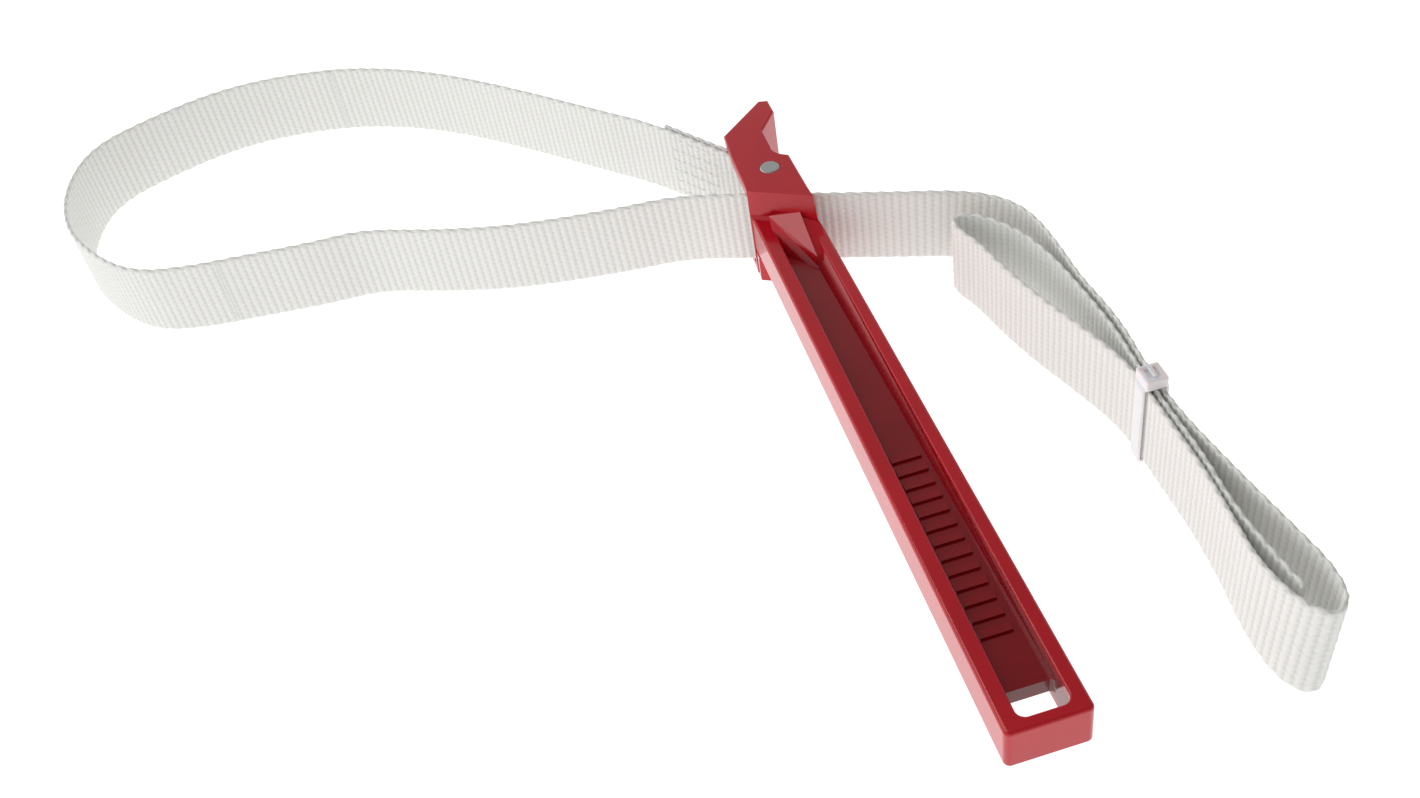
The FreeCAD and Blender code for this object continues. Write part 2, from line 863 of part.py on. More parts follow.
def make_tie():
    """A band round the hank's three layers, with its locking head on the upper edge."""
    body = doc.addObject("PartDesign::Body", "cable_tie")
    reach = dim("layer_pitch") + dim("hank_slack") + dim("strap_thickness").times(0.5) + dim("tie_gap")
    left = dim("tie_x") - reach
    right = dim("tie_x") + reach
    bottom = dim("hank_lift") - dim("tie_gap")
    top = dim("hank_lift") + STRAP_WIDTH + dim("tie_gap")
    wall = dim("tie_thickness")
    back = -dim("tie_y") - dim("tie_width").times(0.5)
    band = sketch_on(body, "band_outline", back, "XZ_Plane")
    outline(
        band,
        [
            (left - wall, bottom - wall),
            (right + wall, bottom - wall),
            (right + wall, top + wall),
            (left - wall, top + wall),
        ],
    )
    pad(body, "band", band, dim("tie_width"))
    opening = sketch_on(body, "band_opening", back, "XZ_Plane")
    outline(opening, [(left, bottom), (right, bottom), (right, top), (left, top)])
    pocket(body, "opening", opening, dim("tie_width"), upwards=True)
    margin = dim("tie_head_margin")
    head_left = left - dim("tie_head_inset")
    head_right = head_left + dim("tie_head_length")
    head_low = top + wall - dim("tie_head_sink")
    head_high = top + wall + dim("tie_head_height")
    head = sketch_on(body, "tie_head_outline", back - margin, "XZ_Plane")
    outline(
        head,
        [(head_left, head_low), (head_right, head_low), (head_right, head_high), (head_left, head_high)],
    )
    pad(body, "tie_head", head, dim("tie_width") + margin.times(2))
    return body


def check(feature):
    if "Invalid" in feature.State or "Error" in feature.State:
        raise RuntimeError(f"{feature.Label} failed to recompute")


def main():
    parts = [make_handle(), make_pin(), *make_strap(), make_stitching(), make_tie()]
    doc.recompute()
    for feature in doc.Objects:
        check(feature)
    for part in parts:
        shape = part.Shape
        if shape.isNull() or not shape.isValid():
            raise RuntimeError(f"{part.Label} has no valid shape")
        shape.exportStep(f"parts/{part.Label}.step")
        print(part.Label, "solids", len(shape.Solids), "volume", round(shape.Volume, 1))
    return parts


parts = main()
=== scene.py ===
"""Strap wrench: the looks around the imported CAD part.

Lengths are in millimetres in the part's frame until a mesh is made, which scales them to metres.
"""
import math

import bmesh
import bpy
import numpy as np
from mathutils import Matrix, Vector


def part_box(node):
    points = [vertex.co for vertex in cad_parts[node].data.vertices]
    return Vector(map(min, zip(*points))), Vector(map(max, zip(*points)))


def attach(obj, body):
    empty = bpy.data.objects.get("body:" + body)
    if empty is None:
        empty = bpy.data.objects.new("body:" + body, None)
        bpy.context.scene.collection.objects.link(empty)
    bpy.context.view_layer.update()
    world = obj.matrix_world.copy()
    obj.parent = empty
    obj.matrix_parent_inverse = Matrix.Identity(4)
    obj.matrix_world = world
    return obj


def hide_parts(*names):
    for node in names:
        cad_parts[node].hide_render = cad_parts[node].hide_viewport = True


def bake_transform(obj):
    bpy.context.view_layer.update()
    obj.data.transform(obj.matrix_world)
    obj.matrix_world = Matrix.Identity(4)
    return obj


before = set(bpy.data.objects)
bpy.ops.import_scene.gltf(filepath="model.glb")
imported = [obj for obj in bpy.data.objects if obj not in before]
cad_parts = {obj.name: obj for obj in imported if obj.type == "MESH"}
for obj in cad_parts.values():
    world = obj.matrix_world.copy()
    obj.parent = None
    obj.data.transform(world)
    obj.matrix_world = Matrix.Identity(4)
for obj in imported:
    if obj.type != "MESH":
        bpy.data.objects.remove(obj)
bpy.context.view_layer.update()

MM = 0.001

# Camera
CAMERA_PLACE = (-93.1, -425.2, 352.6)
CAMERA_TARGET = (-44.3, -68.9, 5.2)
CAMERA_ROLL = -10.7
LENS = 39.68

# Strap: its section, and its sewn lap and eye
STRAP_WIDTH = 28.5
STRAP_THICKNESS = 1.8
LAYER_PITCH = 1.9
EYE_OFFSET = 4.45
LAP_LENGTH = 53.0
LAP_BEARING = math.radians(124.0)
SLOT_LOW = 3.7
EDGE_ROUND = 0.5
EDGE_FACE = 0.62
EDGE_SHARE = 0.35

# Strap: its weave, as relief and as painted shade
WEFT_PITCH = 2.6
WARPS = 16
ROWS_PER_RIB = 4
RIB_DEPTH = 0.34
RIB_SHADE = 0.65
CROSSING_DEPTH = 0.2
CROSSING_SHADE = 0.35
DOT_PITCH = 1.9

# Strap: its selvedge, a row of beads with knots between them, and its painted shade, dark on the knots and
# along the edges
SELVEDGE_WAVE = 0.8
SELVEDGE_TWIST = 0.25
SELVEDGE_KNOT = 0.15
SELVEDGE_BEAD = 0.85
SELVEDGE_SHADE = 1.3
SELVEDGE_DIM = 0.3

# Strap: where the hank's fold leans over, how far round it, and by how much at the lower edge
FOLD_PLACE = (78.0, -224.0)
FOLD_REACH = 20.0
FOLD_LEAN = (-4.5, -3.0)

# Strap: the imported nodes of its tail, and where the loop's bend begins and ends
TAIL_NODES = [
    "strap_return_strand",
    "strap_slot_run",
    "strap_tail_run",
    "strap_hank_end",
    "strap_hank_fold",
    "strap_free_end",
]
BEND_START = (-141.5, 148.5)
BEND_END = (-192, 41.5)

# Stitching
STITCH_ROWS = 6
STITCHES_IN_ROW = 6
STITCH_START = 26.5
STITCH_PITCH = 3.9
STITCH_ROW_PITCH = 4.6
STITCH_MARGIN = 2.6
STITCH_LENGTH = 2.9
STITCH_STEPS = 8
STITCH_RISE = 0.6
STITCH_SINK = 0.75
THREAD = 0.36
THREAD_SIDES = 8

# Cable tie
TIE_WIDTH = 4.8
TIE_THICKNESS = 1.1
TIE_BEND = 1.3
TIE_BEND_STEPS = 6
TIE_ROUND = 0.3
TIE_HEAD_RISE = 3.6
TIE_HEAD_SINK = 0.3
TIE_HEAD_INSET = 0.5
TIE_HEAD_LENGTH = 6.8
TIE_HEAD_BEVEL = 0.6
TIE_SLOT_BORDER = 1.3
TIE_SLOT_DEPTH = 0.9
TIE_SLOT_DRAFT = 0.1
TIE_STUB = (1.2, 4.4, 1.5)
TIE_STUB_BEVEL = 0.2

# Where painted shade darkens the handle's recess: an axis, the place where the shade begins, the place where
# it is full, and its strength
RECESS_SHADE = (
    ("Z", 25.2, 20.8, 0.5),
    ("Z", 10.7, 15.1, 1.0),
    ("X", -7.6, -6.6, 1.0),
    ("X", 9.0, 8.0, 1.0),
    ("Y", -228.0, -226.0, 1.0),
    ("Y", -16.0, -30.0, 1.0),
)

# Studio
FLOOR_HALF = 3000
FLOOR_GLOW = 1.1
SKY = ((0.0, 1.15), (0.3, 0.95), (0.6, 0.45), (0.85, 0.2))
SKY_LEAN = (-0.85, 0.53, 0.0)
SKY_CONTRAST = 0.55
KEY_PLACE = (-170, 80, 590)
KEY_TARGET = (0, -30, 25)
KEY_SIZE = 0.35
KEY_POWER = 1.0

# The strap's centre line after its sewn lap, as in the CAD: round the loop, through the slot, along
# the tail and back and forth in the hank to the free end. The third number is the lower edge's height.
STRAP_ROUTE = [
    (-45, 66, 3.1),
    (-72, 97, 2.2),
    (-100, 125, 1.8),
    (-128, 144, 1.5),
    (-155, 153, 1.4),
    (-185, 156, 1.3),
    (-215, 148, 1.3),
    (-238, 137, 1.3),
    (-247, 113, 1.3),
    (-246, 88, 1.3),
    (-236, 66, 1.3),
    (-222, 49, 1.3),
    (-204, 43, 1.3),
    (-180, 40, 1.3),
    (-158, 37, 1.3),
    (-140, 36.5, 1.3),
    (-117, 25.5, 1.3),
    (-90, 15.5, 1.3),
    (-55, 8, 2.1),
    (-33, 4.5, 3.2),
    (-11, -5.5, 3.7),
    (34, -25.6, 3.7),
    (54, -33, 3.0),
    (66, -40.5, 2.2),
    (72.5, -52, 1.6),
    (73.6, -70, 1.3),
    (73.2, -86, 1.3),
    (74.8, -102, 1.3),
    (75, -115, 1.3),
    (73.8, -128, 1.3),
    (73.8, -149, 1.3),
    (75.6, -164, 1.3),
    (78.2, -182, 1.3),
    (81.2, -200, 1.3),
    (83.2, -213, 1.3),
    (82, -223, 1.3),
    (76.5, -227.5, 1.3),
    (70.5, -221, 1.3),
    (67.2, -206, 1.3),
    (68.4, -190, 1.3),
    (69.8, -172, 1.3),
    (69.6, -149, 1.3),
    (69.7, -128, 1.3),
    (64.5, -109, 1.3),
    (58, -90, 1.3),
    (53.6, -72, 1.3),
    (51.2, -58, 1.3),
    (47.6, -48.5, 1.3),
    (49, -43, 1.3),
    (55.5, -44.5, 1.3),
    (61.5, -52, 1.3),
    (66.3, -61, 1.3),
    (69.3, -73, 1.3),
    (70.9, -87, 1.3),
    (72.1, -103, 1.3),
    (72.5, -115, 1.3),
    (71.7, -128, 1.3),
    (71.7, -150, 1.3),
    (72.1, -166, 1.3),
    (70.7, -186, 1.3),
    (71.9, -203, 1.3),
    (73.7, -216.5, 1.3),
]


# ---------------------------------------------------------------- meshes

def new_object(name, vertices, faces, smooth=True):
    """An object from vertices in millimetres and faces."""
    mesh = bpy.data.meshes.new(name)
    mesh.from_pydata([tuple(c * MM for c in v) for v in vertices], [], faces)
    mesh.polygons.foreach_set("use_smooth", [smooth] * len(mesh.polygons))
    mesh.update()
    made = bpy.data.objects.new(name, mesh)
    bpy.context.scene.collection.objects.link(made)
    return made


def tube_faces(first, sides, rings):
    """The faces of a closed tube whose rings of points follow each other from index first on."""
    faces = []
    for ring in range(rings - 1):
        at = first + ring * sides
        for side in range(sides):
            following = (side + 1) % sides
            faces.append((at + side, at + following, at + sides + following, at + sides + side))
    end = first + (rings - 1) * sides
    faces.append(tuple(range(first, first + sides)))
    faces.append(tuple(reversed(range(end, end + sides))))
    return faces


def outward(made):
    """Turns the faces of a closed mesh to face outwards."""
    shape = bmesh.new()
    shape.from_mesh(made.data)
    bmesh.ops.recalc_face_normals(shape, faces=shape.faces)
    shape.to_mesh(made.data)
    shape.free()
    return made


# ---------------------------------------------------------------- strap

def eye_points():
    """Control points of the strap's sewn lap and of its eye round the pin, from the lap's end."""
    inner = EYE_OFFSET - LAYER_PITCH
    corner = EYE_OFFSET / math.cos(math.pi / 8)
    around = [(EYE_OFFSET, LAP_LENGTH), (EYE_OFFSET, 20.0), (EYE_OFFSET, 6.0)]
    for step in range(-1, 9, 2):
        turn = -step * math.pi / 8
        around.append((corner * math.cos(turn), corner * math.sin(turn)))
    around += [(-EYE_OFFSET, 4.6), (inner, 8.5), (inner, 13.0), (inner, LAP_LENGTH + 6)]
    across = Vector((math.sin(LAP_BEARING), -math.cos(LAP_BEARING)))
    along = Vector((math.cos(LAP_BEARING), math.sin(LAP_BEARING)))
    return [(*(across * a + along * b), SLOT_LOW) for a, b in around]


def strap_line():
    """The strap's centre line as points evenly spaced, ROWS_PER_RIB to a weft rib."""
    route = eye_points() + STRAP_ROUTE
    curve = bpy.data.curves.new("strap_line", "CURVE")
    curve.dimensions = "3D"
    curve.resolution_u = 32
    spline = curve.splines.new("NURBS")
    spline.points.add(len(route) - 1)
    for point, place in zip(spline.points, route):
        point.co = (*place, 1.0)
    spline.order_u = 3
    spline.use_endpoint_u = True
    holder = bpy.data.objects.new("strap_line", curve)
    line = bpy.data.meshes.new_from_object(holder)
    fine = np.array([v.co for v in line.vertices], float)
    bpy.data.objects.remove(holder)
    bpy.data.meshes.remove(line)
    reach = np.concatenate([[0], np.cumsum(np.linalg.norm(np.diff(fine, axis=0), axis=1))])
    ribs = round(reach[-1] / WEFT_PITCH)
    even = np.linspace(0, reach[-1], ribs * ROWS_PER_RIB + 1)
    return np.stack([np.interp(even, reach, fine[:, i]) for i in range(3)], axis=1)


def strap_section():
    """The strap's section round its outline: how far up each point is, and its side from -1 to 1."""
    margin = EDGE_ROUND * STRAP_THICKNESS
    ups = np.linspace(margin, STRAP_WIDTH - margin, 2 * WARPS + 1)
    left = [(up, 1.0) for up in ups]
    right = [(up, -1.0) for up in ups[::-1]]
    low = EDGE_SHARE * margin
    high = STRAP_WIDTH - EDGE_SHARE * margin
    top = [(high, EDGE_FACE), (STRAP_WIDTH, 0.0), (high, -EDGE_FACE)]
    bottom = [(low, -EDGE_FACE), (0.0, 0.0), (low, EDGE_FACE)]
    return np.array(left + top + right + bottom)


def weave(rib, height, face):
    """How deep each point lies under the crowns of the yarn, and its painted shade from 0 in a groove to 1.
    """
    warp_pitch = (STRAP_WIDTH - 2 * EDGE_ROUND * STRAP_THICKNESS) / WARPS
    warp = (height - STRAP_WIDTH / 2) / warp_pitch
    ridge = np.abs(np.cos(np.pi * rib))
    crossing = np.cos(np.pi * rib) * np.cos(np.pi * warp) * np.where(face < 0, -1.0, 1.0)
    sunk = RIB_DEPTH * (1 - ridge) + CROSSING_DEPTH * (1 - crossing) / 2
    # Painted shade: darker in the grooves between ribs and where the yarns cross under.
    shade = 1 - (1 - ridge) * RIB_SHADE - (1 - crossing) / 2 * CROSSING_SHADE
    # Painted shade: the weave darkens near both selvedges.
    from_edge = np.minimum(height, STRAP_WIDTH - height)
    shade *= 1 - SELVEDGE_DIM * np.exp(-((from_edge / SELVEDGE_SHADE) ** 2))
    return sunk, shade


def selvedge(rib, height, edge):
    """How far the beads move each point of an edge upwards and sideways, and its painted shade, dark at the
    knots and light on the beads.
    """
    upper = height > STRAP_WIDTH / 2
    phase = rib / 2 + np.where(upper, 0.0, 0.5)
    lobe = np.abs(np.cos(np.pi * phase))
    rise = np.where(upper, -1.0, 1.0) * SELVEDGE_WAVE * (1 - lobe) * edge
    twist = SELVEDGE_TWIST * np.sin(np.pi * phase * 2) * edge
    # Painted shade: the knots between the beads are dark, the beads light.
    return rise, twist, SELVEDGE_KNOT + SELVEDGE_BEAD * lobe**2


def strap_piece(name, line, first, last):
    """The closed length of strap between two rows of the line, with its weave as relief and as painted shade.
    """
    rows = np.arange(first, last + 1)
    ahead = np.gradient(line, axis=0)[rows]
    ahead /= np.linalg.norm(ahead, axis=1)[:, None]
    side = np.cross((0, 0, 1), ahead)
    side /= np.linalg.norm(side, axis=1)[:, None]
    up = np.cross(ahead, side)
    section = strap_section()
    rib = rows[:, None] / ROWS_PER_RIB
    height, face = section[None, :, 0], section[None, :, 1]
    edge = np.clip(1 - np.abs(face), 0, 1)
    sunk, shade = weave(rib, height, face)
    rise, twist, bead_shade = selvedge(rib, height, edge)
    out = face * (STRAP_THICKNESS / 2 - sunk)
    base = line[rows]
    near_fold = np.exp(-((base[:, :2] - FOLD_PLACE) ** 2).sum(axis=1) / FOLD_REACH**2)
    lean = (near_fold[:, None] * (1 - height / STRAP_WIDTH))[:, :, None] * np.array([*FOLD_LEAN, 0.0])
    points = (
        base[:, None, :]
        + side[:, None, :] * (out + twist)[:, :, None]
        + up[:, None, :] * (height + rise)[:, :, None]
        + lean
    )
    made = new_object(name, points.reshape(-1, 3), tube_faces(0, len(section), len(rows)))
    for cap in made.data.polygons[-2:]:
        cap.use_smooth = False
    painted_weave_shade = np.where(edge > 0, bead_shade, shade)
    add_weave_maps(made.data, painted_weave_shade, rib * WEFT_PITCH, height)
    return outward(made)


def add_weave_maps(mesh, painted_weave_shade, along, height):
    """Gives the strap's points the weave's painted shade, and its faces a map of places along and across the
    strap.
    """
    shade = mesh.attributes.new("painted_weave_shade", "FLOAT", "POINT")
    shade.data.foreach_set("value", painted_weave_shade.astype(np.float32).ravel())
    weave_map = mesh.uv_layers.new(name="weave")
    corners = np.empty(len(mesh.loops), np.int32)
    mesh.loops.foreach_get("vertex_index", corners)
    places = [np.broadcast_to(place, painted_weave_shade.shape).ravel() for place in (along, height)]
    flat = np.stack(places, axis=1)[corners]
    weave_map.data.foreach_set("uv", (flat * MM).astype(np.float32).ravel())


def row_near(line, place):
    """The row on the crown of the rib that is nearest to a place in plan."""
    away = np.linalg.norm(line[:, :2] - np.array(place), axis=1)
    return round(int(away.argmin()) / ROWS_PER_RIB) * ROWS_PER_RIB


def make_strap():
    """The strap in three lengths that meet on ribs: the fixed one, the bend of the loop and the tail."""
    line = strap_line()
    bend_start = row_near(line, BEND_START)
    bend_end = row_near(line, BEND_END)
    last = len(line) - 1
    woven = webbing()
    pieces = []
    for name, first, final, nodes in (
        ("strap_fixed_length", 0, bend_start, ["strap_sewn_lap", "strap_eye", "strap_fixed_strand"]),
        ("strap_loop_length", bend_start, bend_end, ["strap_loop_bend"]),
        ("strap_tail_length", bend_end, last, TAIL_NODES),
    ):
        piece = strap_piece(name, line, first, final)
        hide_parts(*nodes)
        piece.data.materials.append(woven)
        pieces.append(piece)
    fixed, bend, tail = pieces
    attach(fixed, "strap_anchor")
    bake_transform(bend)
    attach(tail, "strap_tail")


def make_stitching():
    """Stitches of thick thread on both faces of the sewn lap, each arching out of the webbing."""
    vertices, faces = [], []
    across = Vector((math.sin(LAP_BEARING), -math.cos(LAP_BEARING), 0))
    along = Vector((math.cos(LAP_BEARING), math.sin(LAP_BEARING), 0))
    up = Vector((0, 0, 1))
    outer = EYE_OFFSET + STRAP_THICKNESS / 2
    inner = EYE_OFFSET - LAYER_PITCH - STRAP_THICKNESS / 2
    for row in range(STITCH_ROWS):
        height = SLOT_LOW + STITCH_MARGIN + row * STITCH_ROW_PITCH
        for number in range(STITCHES_IN_ROW):
            start = STITCH_START + number * STITCH_PITCH
            for face, way in ((outer, 1), (inner, -1)):
                faces += tube_faces(len(vertices), THREAD_SIDES, STITCH_STEPS + 1)
                for step in range(STITCH_STEPS + 1):
                    share = step / STITCH_STEPS
                    arch = THREAD * (math.sin(math.pi * share) ** STITCH_RISE - STITCH_SINK)
                    centre = (
                        across * (face + way * arch)
                        + along * (start + share * STITCH_LENGTH)
                        + up * height
                    )
                    for side in range(THREAD_SIDES):
                        turn = 2 * math.pi * side / THREAD_SIDES
                        vertices.append(
                            centre
                            + across * (THREAD / 2 * math.cos(turn))
                            + up * (THREAD / 2 * math.sin(turn))
                        )
    made = outward(new_object("lap_stitching", vertices, faces))
    made.data.materials.append(sewing_thread())
    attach(made, "strap_anchor")
    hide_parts("eye_stitching")


# ---------------------------------------------------------------- cable tie

def add_block(shape, low, high, bevel):
    """Adds a box with rounded edges to a bmesh."""
    corners = bmesh.ops.create_cube(shape, size=1.0)["verts"]
    bmesh.ops.scale(shape, vec=[b - a for a, b in zip(low, high)], verts=corners)
    bmesh.ops.translate(shape, vec=[(a + b) / 2 for a, b in zip(low, high)], verts=corners)
    edges = list({edge for vertex in corners for edge in vertex.link_edges})
    bmesh.ops.bevel(shape, geom=edges, offset=bevel, segments=3, profile=0.6, affect="EDGES")


def add_band(shape, low, high, centre):
    """Adds the band: a flat section with rounded edges, swept round an upright rectangle's outline."""
    half, thick, round_off = TIE_WIDTH / 2, TIE_THICKNESS / 2, TIE_ROUND * TIE_THICKNESS
    section = [
        (-half, -thick + round_off), (-half + round_off, -thick), (half - round_off, -thick),
        (half, -thick + round_off), (half, thick - round_off), (half - round_off, thick),
        (-half + round_off, thick), (-half, thick - round_off),
    ]
    inset = thick + TIE_BEND
    left, right, bottom, top = low[0] + inset, high[0] - inset, low[1] + inset, high[1] - inset
    rings = []
    for number, (x, z) in enumerate([(right, top), (left, top), (left, bottom), (right, bottom)]):
        for step in range(TIE_BEND_STEPS + 1):
            turn = math.pi / 2 * (number + step / TIE_BEND_STEPS)
            rings.append([
                shape.verts.new((
                    x + (TIE_BEND + out) * math.cos(turn),
                    centre + along,
                    z + (TIE_BEND + out) * math.sin(turn),
                ))
                for along, out in section
            ])
    for ring, following in zip(rings, rings[1:] + rings[:1]):
        for k in range(len(section)):
            after = (k + 1) % len(section)
            shape.faces.new((ring[k], ring[after], following[after], following[k]))


def make_tie():
    """A nylon tie pulled tight round the hank: its band, its locking head and the stub of its tail."""
    low, high = ([c / MM for c in corner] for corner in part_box("cable_tie"))
    centre = (low[1] + high[1]) / 2
    band_top = high[2] - TIE_HEAD_RISE
    shape = bmesh.new()
    add_block(
        shape,
        (low[0] + TIE_HEAD_INSET, low[1], band_top - TIE_HEAD_SINK),
        (low[0] + TIE_HEAD_INSET + TIE_HEAD_LENGTH, high[1], high[2]),
        TIE_HEAD_BEVEL,
    )
    lid = max(shape.faces, key=lambda face: face.normal.z * face.calc_area())
    for thickness, depth in ((TIE_SLOT_BORDER, 0.0), (TIE_SLOT_DRAFT, -TIE_SLOT_DEPTH)):
        bmesh.ops.inset_region(shape, faces=[lid], thickness=thickness, depth=depth)
    middle = low[0] + TIE_HEAD_INSET + TIE_HEAD_LENGTH / 2
    slot_floor = high[2] - TIE_SLOT_DEPTH
    length, width, rise = TIE_STUB
    add_block(
        shape,
        (middle - length / 2, centre - width / 2, slot_floor - TIE_SLOT_DRAFT),
        (middle + length / 2, centre + width / 2, slot_floor + rise),
        TIE_STUB_BEVEL,
    )
    add_band(shape, (low[0], low[2]), (high[0], band_top), centre)
    bmesh.ops.recalc_face_normals(shape, faces=shape.faces)
    bmesh.ops.scale(shape, vec=(MM, MM, MM), verts=shape.verts)
    mesh = bpy.data.meshes.new("hank_tie")
    shape.to_mesh(mesh)
    shape.free()
    mesh.polygons.foreach_set("use_smooth", [True] * len(mesh.polygons))
    mesh.materials.append(tie_nylon())
    made = bpy.data.objects.new("hank_tie", mesh)
    bpy.context.scene.collection.objects.link(made)
    weighted = made.modifiers.new("even_normals", "WEIGHTED_NORMAL")
    weighted.keep_sharp = True
    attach(made, "strap_tail")
    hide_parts("cable_tie")


# ---------------------------------------------------------------- materials

def new_material(name, color, **inputs):
    """A material with its tree and its Principled shader set to these values."""
    material = bpy.data.materials.new(name)
    material.use_nodes = True
    tree = material.node_tree
    shader = tree.nodes["Principled BSDF"]
    shader.inputs["Base Color"].default_value = (*color, 1)
    for socket, value in inputs.items():
        shader.inputs[socket.replace("_", " ")].default_value = value
    return material, tree, shader


def add_node(tree, kind, links=None, **settings):
    """A node of this kind. links gives the socket that feeds each input, settings its values."""
    node = tree.nodes.new(kind)
    for key, value in settings.items():
        if key in node.inputs:
            node.inputs[key].default_value = value
        else:
            setattr(node, key, value)
    for key, source in (links or {}).items():
        tree.links.new(source, node.inputs[key])
    return node


def add_ramp(tree, source, stops):
    """The colour that a socket's value picks from these stops, each a position and a colour."""
    ramp = add_node(tree, "ShaderNodeValToRGB", {"Fac": source})
    elements = ramp.color_ramp.elements
    for number, (position, color) in enumerate(stops):
        element = elements[number] if number < len(elements) else elements.new(position)
        element.position = position
        element.color = (*color, 1)
    return ramp.outputs["Color"]


def add_noise(tree, vector, **settings):
    """The value of a noise over these coordinates."""
    return add_node(tree, "ShaderNodeTexNoise", {"Vector": vector}, **settings).outputs["Fac"]


def add_product(tree, first, second):
    """The product of two sockets, or of a socket and a number."""
    product = add_node(tree, "ShaderNodeMath", {0: first}, operation="MULTIPLY")
    if isinstance(second, float):
        product.inputs[1].default_value = second
    else:
        tree.links.new(second, product.inputs[1])
    return product.outputs["Value"]


def add_bump(tree, shader, height, strength, distance):
    """Small relief that follows a socket's value, up to a distance in millimetres."""
    bump = add_node(tree, "ShaderNodeBump", {"Height": height}, Strength=strength, Distance=distance * MM)
    tree.links.new(bump.outputs["Normal"], shader.inputs["Normal"])


def object_place(tree):
    """The coordinates of a point in its own object."""
    return add_node(tree, "ShaderNodeTexCoord").outputs["Object"]


def red_paint():
    """Glossy red paint with a faint orange peel, and painted shade that darkens it inside the handle's
    recess.
    """
    material, tree, shader = new_material("red_paint", (0.5, 0.006, 0.015), Roughness=0.16)
    place = object_place(tree)
    tone = add_noise(tree, place, Scale=45.0, Detail=3.0)
    paint = add_ramp(tree, tone, ((0.3, (0.46, 0.005, 0.014)), (0.7, (0.53, 0.007, 0.016))))
    parts = add_node(tree, "ShaderNodeSeparateXYZ", {"Vector": place})
    masks = [
        add_node(
            tree, "ShaderNodeMapRange", {"Value": parts.outputs[axis]}, interpolation_type="SMOOTHSTEP",
            **{"From Min": clear * MM, "From Max": dark * MM, "To Max": strength},
        ).outputs["Result"]
        for axis, clear, dark, strength in RECESS_SHADE
    ]
    shade = masks[0]
    for mask in masks[1:]:
        shade = add_product(tree, shade, mask)
    # Painted shade: the paint is mixed towards near black inside the recess, as far as the masks above reach.
    recess_painted_shade = add_node(
        tree, "ShaderNodeMixRGB", {"Fac": shade, "Color1": paint}, Color2=(0.02, 0.0, 0.0, 1),
    )
    tree.links.new(recess_painted_shade.outputs["Color"], shader.inputs["Base Color"])
    add_bump(tree, shader, add_noise(tree, place, Scale=420.0, Detail=2.0), 0.25, 0.06)
    return material


def pin_steel():
    """Plain steel, ground rather than polished."""
    material, tree, shader = new_material("pin_steel", (0.42, 0.45, 0.43), Roughness=0.34, Metallic=1.0)
    grain = add_noise(tree, object_place(tree), Scale=900.0, Detail=4.0)
    rough = add_node(
        tree, "ShaderNodeMapRange", {"Value": grain}, **{"To Min": 0.25, "To Max": 0.5},
    )
    tree.links.new(rough.outputs["Result"], shader.inputs["Roughness"])
    add_bump(tree, shader, grain, 0.4, 0.03)
    return material


def webbing():
    """Off-white woven yarn with painted shade: greyer in its grooves and paler on its crowns, with darker
    dots in its grooves and fine fibres along it.
    """
    material, tree, shader = new_material(
        "woven_webbing", (0.9, 0.89, 0.86), Roughness=0.8, Specular_IOR_Level=0.3, Sheen_Weight=0.1,
        Subsurface_Weight=0.2, Subsurface_Radius=(1.0, 0.9, 0.7), Subsurface_Scale=0.001,
    )
    painted_weave_shade = add_node(tree, "ShaderNodeAttribute", attribute_name="painted_weave_shade")
    # Painted shade: the yarn's colour follows the points' painted shade, greyer in the grooves.
    yarn = add_ramp(
        tree, painted_weave_shade.outputs["Fac"], ((0.1, (0.73, 0.74, 0.705)), (0.7, (0.86, 0.855, 0.83))),
    )
    weave = add_node(tree, "ShaderNodeUVMap", uv_map="weave").outputs["UV"]
    parts = add_node(tree, "ShaderNodeSeparateXYZ", {"Vector": weave})
    # Painted shade: dark dots in the weave's grooves, between the yarns, spaced along and across the strap.
    waves = [
        add_node(
            tree, "ShaderNodeMath", {0: add_product(tree, parts.outputs[axis], math.pi / (half_period * MM))},
            operation=operation,
        ).outputs["Value"]
        for axis, operation, half_period in (("X", "SINE", WEFT_PITCH), ("Y", "COSINE", DOT_PITCH / 2))
    ]
    dot_painted_shade = add_node(
        tree, "ShaderNodeMapRange", {"Value": add_product(tree, *waves)},
        **{"From Min": 0.2, "From Max": 0.9, "To Max": 0.15},
    )
    yarn_with_painted_dots = add_node(
        tree, "ShaderNodeMixRGB", {"Fac": dot_painted_shade.outputs["Result"], "Color1": yarn},
        Color2=(0.35, 0.35, 0.32, 1),
    )
    tree.links.new(yarn_with_painted_dots.outputs["Color"], shader.inputs["Base Color"])
    stretched = add_node(tree, "ShaderNodeMapping", {"Vector": weave}, Scale=(900.0, 6500.0, 1.0))
    fibre = add_noise(tree, stretched.outputs["Vector"], Scale=1.0, Detail=2.0)
    add_bump(tree, shader, fibre, 0.5, 0.08)
    return material


def sewing_thread():
    """The webbing's off-white in twisted thread."""
    material, tree, shader = new_material("sewing_thread", (0.9, 0.89, 0.86), Roughness=0.6, Sheen_Weight=0.2)
    add_bump(tree, shader, add_noise(tree, object_place(tree), Scale=3000.0), 0.5, 0.06)
    return material


def tie_nylon():
    """Translucent natural nylon."""
    material, tree, shader = new_material(
        "tie_nylon", (0.86, 0.83, 0.85), Roughness=0.3, Subsurface_Weight=0.6, Subsurface_Scale=0.003,
    )
    add_bump(tree, shader, add_noise(tree, object_place(tree), Scale=260.0), 0.3, 0.1)
    return material


def dress(node, material):
    """Gives a CAD node its finished material."""
    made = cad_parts[node]
    made.data.materials.clear()
    made.data.materials.append(material)


# ---------------------------------------------------------------- studio

def aimed(place, target):
    """The matrix of an object at a place that looks at a target, both in millimetres."""
    place, target = Vector(place) * MM, Vector(target) * MM
    return Matrix.Translation(place) @ (target - place).to_track_quat("-Z", "Y").to_matrix().to_4x4()


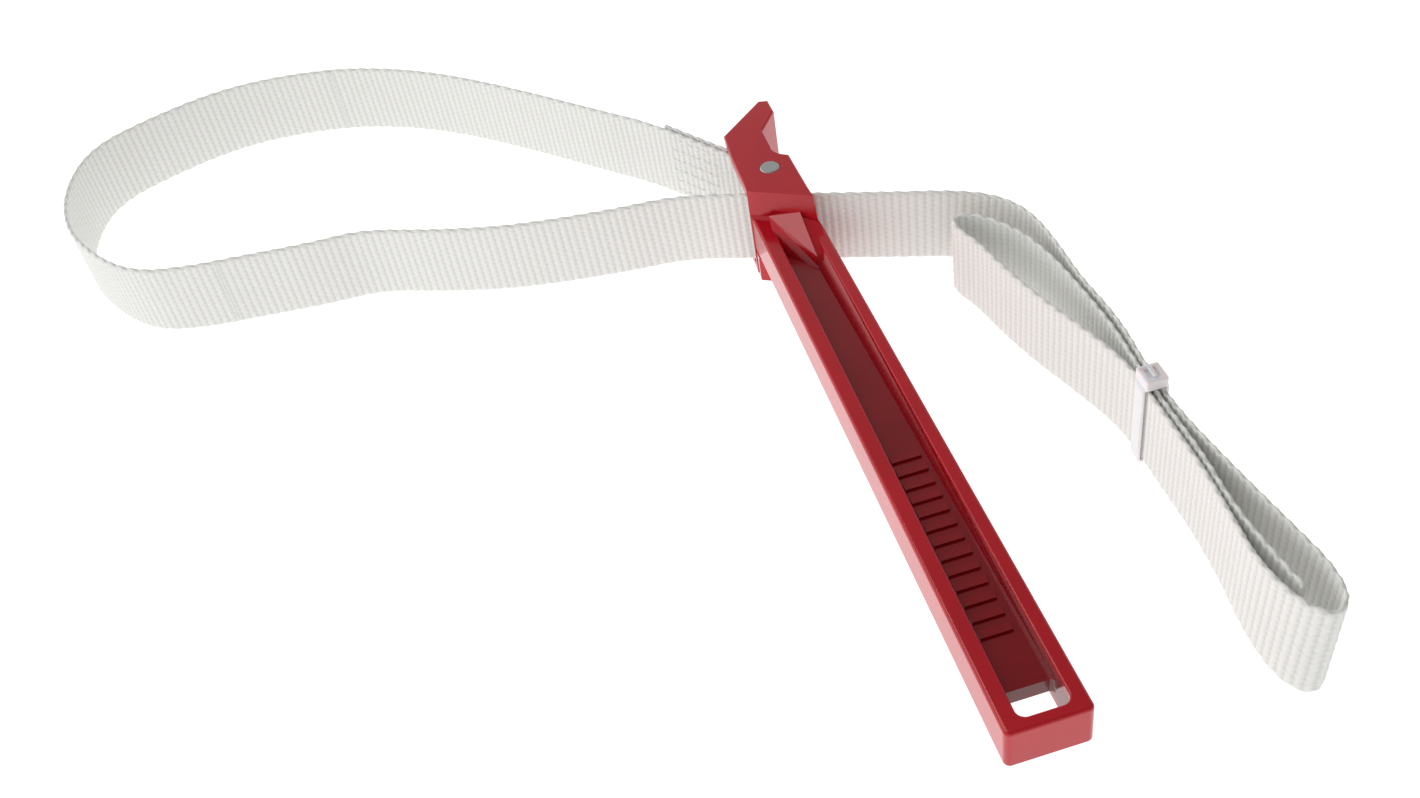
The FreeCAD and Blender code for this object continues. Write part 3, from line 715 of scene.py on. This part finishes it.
def make_camera():
    """The camera of the main view."""
    camera = bpy.data.cameras.new("camera")
    camera.sensor_width = 36.0
    camera.lens = LENS
    holder = bpy.data.objects.new("camera", camera)
    bpy.context.scene.collection.objects.link(holder)
    roll = Matrix.Rotation(math.radians(CAMERA_ROLL), 4, "Z")
    holder.matrix_world = aimed(CAMERA_PLACE, CAMERA_TARGET) @ roll
    bpy.context.scene.camera = holder


def make_floor():
    """A glowing white table."""
    half = FLOOR_HALF
    corners = [(-half, -half, 0), (half, -half, 0), (half, half, 0), (-half, half, 0)]
    floor = new_object("floor", corners, [(0, 1, 2, 3)])
    material, _, _ = new_material(
        "floor_white", (0.25, 0.25, 0.25), Roughness=0.9, Specular_IOR_Level=0.0,
        Emission_Color=(1, 1, 1, 1), Emission_Strength=FLOOR_GLOW,
    )
    floor.data.materials.append(material)


def make_lights():
    """A room that is bright at the horizon and dark overhead, and one soft light high up."""
    world = bpy.data.worlds.new("studio")
    world.use_nodes = True
    bpy.context.scene.world = world
    tree = world.node_tree
    background = tree.nodes["Background"]
    direction = add_node(tree, "ShaderNodeTexCoord").outputs["Generated"]
    parts = add_node(tree, "ShaderNodeSeparateXYZ", {"Vector": direction})
    glow = add_ramp(tree, parts.outputs["Z"], [(position, (grey,) * 3) for position, grey in SKY])
    tree.links.new(glow, background.inputs["Color"])
    towards = add_node(tree, "ShaderNodeVectorMath", {0: direction}, operation="DOT_PRODUCT")
    towards.inputs[1].default_value = SKY_LEAN
    strength = add_node(tree, "ShaderNodeMath", {0: towards.outputs["Value"]}, operation="MULTIPLY_ADD")
    strength.inputs[1].default_value = SKY_CONTRAST
    strength.inputs[2].default_value = 1.0
    tree.links.new(strength.outputs["Value"], background.inputs["Strength"])
    light = bpy.data.lights.new("key_light", "AREA")
    light.energy = KEY_POWER
    light.size = KEY_SIZE
    holder = bpy.data.objects.new("key_light", light)
    bpy.context.scene.collection.objects.link(holder)
    holder.matrix_world = aimed(KEY_PLACE, KEY_TARGET)
    holder.visible_camera = False
    bpy.context.scene.view_settings.view_transform = "Standard"


make_camera()
make_floor()
make_lights()
make_strap()
make_stitching()
make_tie()
dress("handle_casting", red_paint())
dress("pivot_pin", pin_steel())
